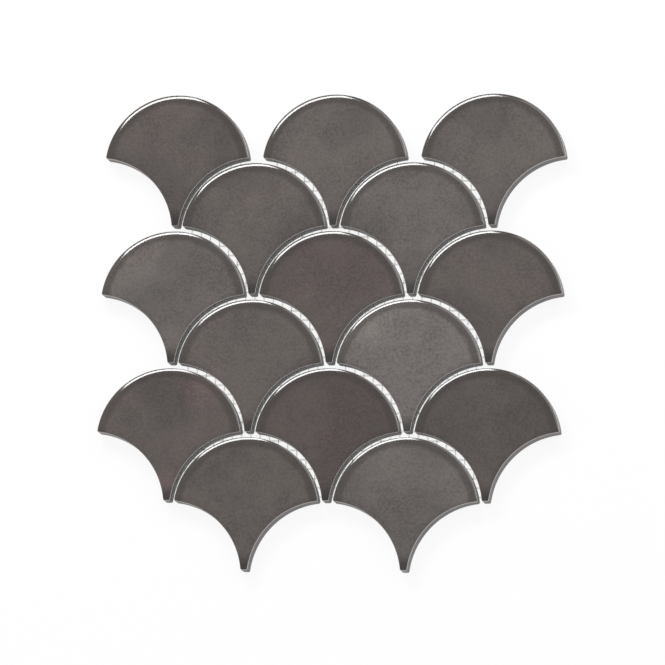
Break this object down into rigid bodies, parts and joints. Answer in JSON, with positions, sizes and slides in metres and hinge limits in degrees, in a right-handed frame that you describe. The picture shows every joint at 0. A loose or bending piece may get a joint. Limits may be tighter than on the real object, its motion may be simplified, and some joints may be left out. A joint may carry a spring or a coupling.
{
  "type": "fan mosaic tile sheet",
  "caption": "Net-backed sheet of fan-shaped glossy ceramic mosaic chips, laid like fish scales with narrow open joints, for tiling walls.",
  "frame": {"origin": "centre of the bounding box in X and Y, at the underside of the net, on the floor", "axes": "+Z out of the glazed face, +Y from the chips' points to their round heads, +X to the right as the face is seen with the heads up"},
  "size_m": [0.2478, 0.2558, 0.0104],
  "materials": {
    "glazed_tile": "glossy warm dark grey glaze",
    "glass_fibre_net": "white coated glass-fibre thread"
  },
  "bodies": {
    "root": {"tile_row1_left": "glazed_tile", "tile_row1_middle": "glazed_tile", "tile_row1_right": "glazed_tile", "tile_row2_left": "glazed_tile", "tile_row2_right": "glazed_tile", "tile_row3_left": "glazed_tile", "tile_row3_middle": "glazed_tile", "tile_row3_right": "glazed_tile", "tile_row4_left": "glazed_tile", "tile_row4_right": "glazed_tile", "tile_row5_left": "glazed_tile", "tile_row5_middle": "glazed_tile", "tile_row5_right": "glazed_tile", "tile_row6_left": "glazed_tile", "tile_row6_right": "glazed_tile", "net_weft_threads": "glass_fibre_net", "net_warp_threads": "glass_fibre_net"}
  },
  "joints": []
}
